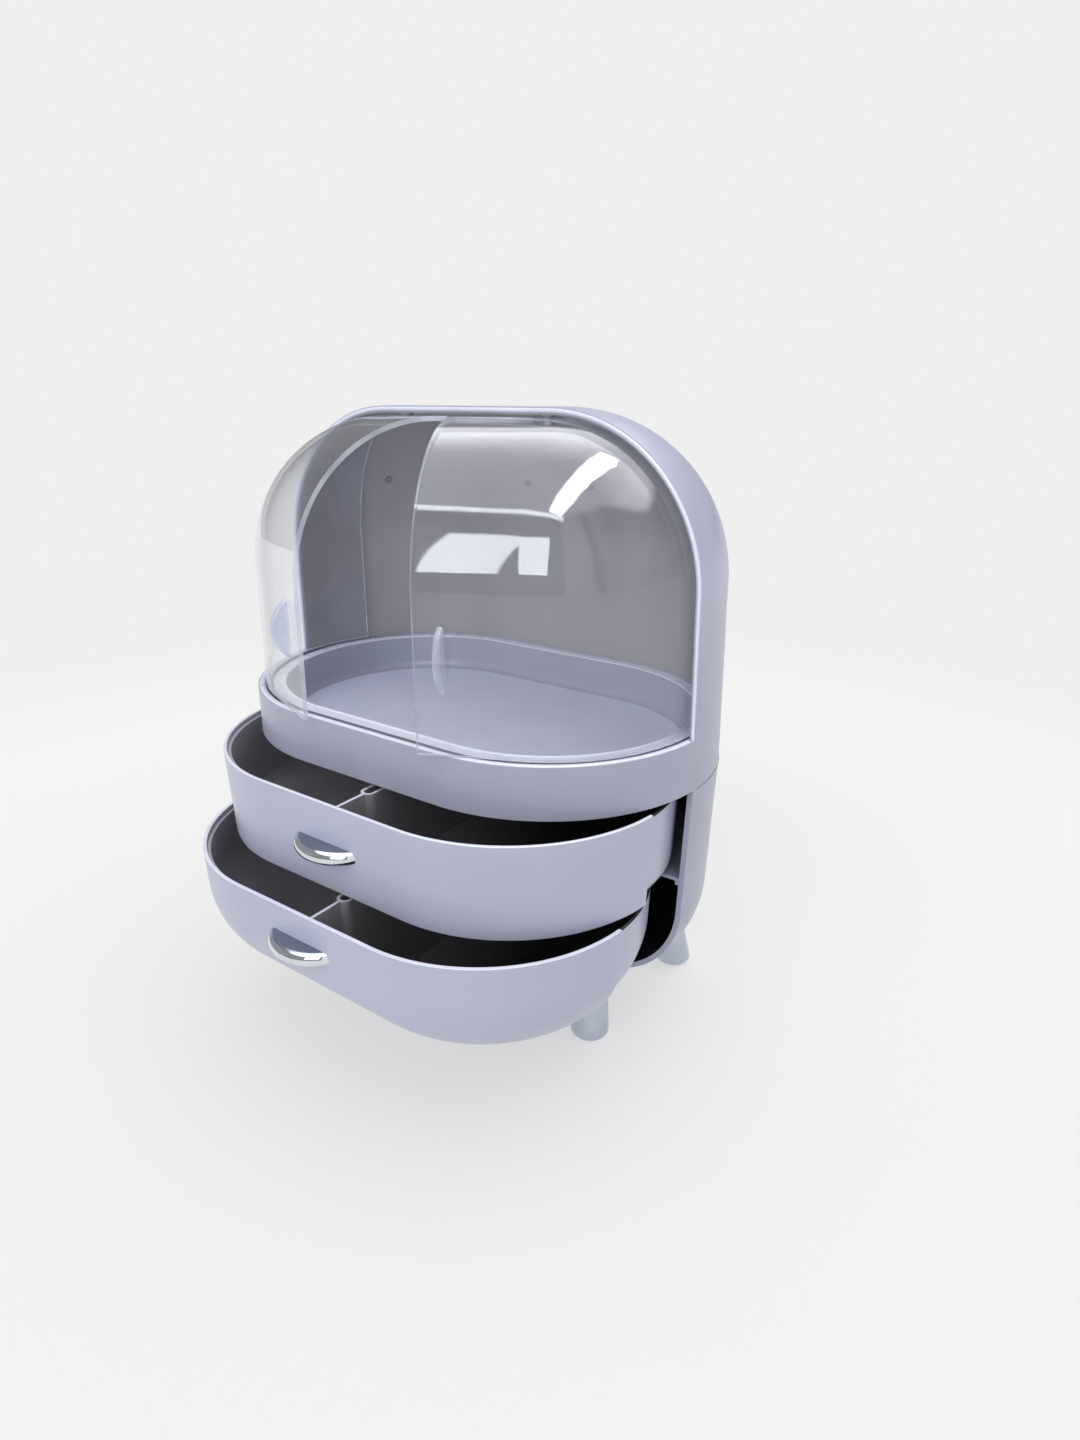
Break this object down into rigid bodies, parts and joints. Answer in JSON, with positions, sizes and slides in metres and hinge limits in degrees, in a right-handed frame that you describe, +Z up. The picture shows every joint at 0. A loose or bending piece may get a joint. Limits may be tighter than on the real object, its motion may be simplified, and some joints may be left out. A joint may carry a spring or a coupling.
{
  "type": "makeup organizer",
  "caption": "Countertop makeup organizer: domed display hood with two clear swinging doors over a tray, above pull-out drawers with chrome pulls, on splayed chrome feet.",
  "frame": {"origin": "on the floor, in the middle of the ground that the organizer covers in the pose of the picture (drawers partly out)", "axes": "+Z up, -Y out of the front, +X to the right for someone who faces the front"},
  "size_m": [0.3, 0.2641, 0.3675],
  "materials": {
    "shell_plastic": "pale lavender grey moulded plastic, satin gloss",
    "liner_plastic": "warm dark grey sheet, satin",
    "clear_plastic": "clear glossy plastic",
    "chrome": "polished chrome plating",
    "steel": "plain zinc-plated steel"
  },
  "bodies": {
    "organizer": {"upper_body": "shell_plastic", "hood_liner": "liner_plastic", "liner_buttons": "liner_plastic", "display_tray": "shell_plastic", "body_screws": "steel", "left_pivot_pin": "steel", "right_pivot_pin": "steel", "lower_housing": "shell_plastic", "drawer_shelf": "shell_plastic", "shelf_rails": "steel", "floor_rails": "steel", "front_left_foot": "chrome", "front_right_foot": "chrome", "rear_left_foot": "chrome", "rear_right_foot": "chrome"},
    "left_door": {"left_door": "clear_plastic", "left_door_handle": "clear_plastic"},
    "right_door": {"right_door": "clear_plastic", "right_door_handle": "clear_plastic"},
    "top_drawer": {"top_drawer_front": "shell_plastic", "top_drawer_box": "shell_plastic", "top_drawer_divider": "shell_plastic", "top_drawer_pull": "chrome", "top_pull_screws": "steel"},
    "bottom_drawer": {"bottom_drawer_front": "shell_plastic", "bottom_drawer_box": "shell_plastic", "bottom_drawer_divider": "shell_plastic", "bottom_drawer_pull": "chrome", "bottom_pull_screws": "steel"}
  },
  "joints": [
    {"name": "left_door_swing", "type": "hinge", "parent": "organizer", "child": "left_door", "pos_m": [-0.05, 0.033, 0.3635], "axis": [0, 0, -1], "range_deg": [-21, 59]},
    {"name": "right_door_swing", "type": "hinge", "parent": "organizer", "child": "right_door", "pos_m": [0.05, 0.033, 0.3635], "axis": [0, 0, 1], "range_deg": [-25.4, 54.6]},
    {"name": "top_drawer_slide", "type": "slide", "parent": "organizer", "child": "top_drawer", "axis": [0, -1, 0], "range_m": [-0.0344, 0.0756]},
    {"name": "bottom_drawer_slide", "type": "slide", "parent": "organizer", "child": "bottom_drawer", "axis": [0, -1, 0], "range_m": [-0.059, 0.051]}
  ]
}
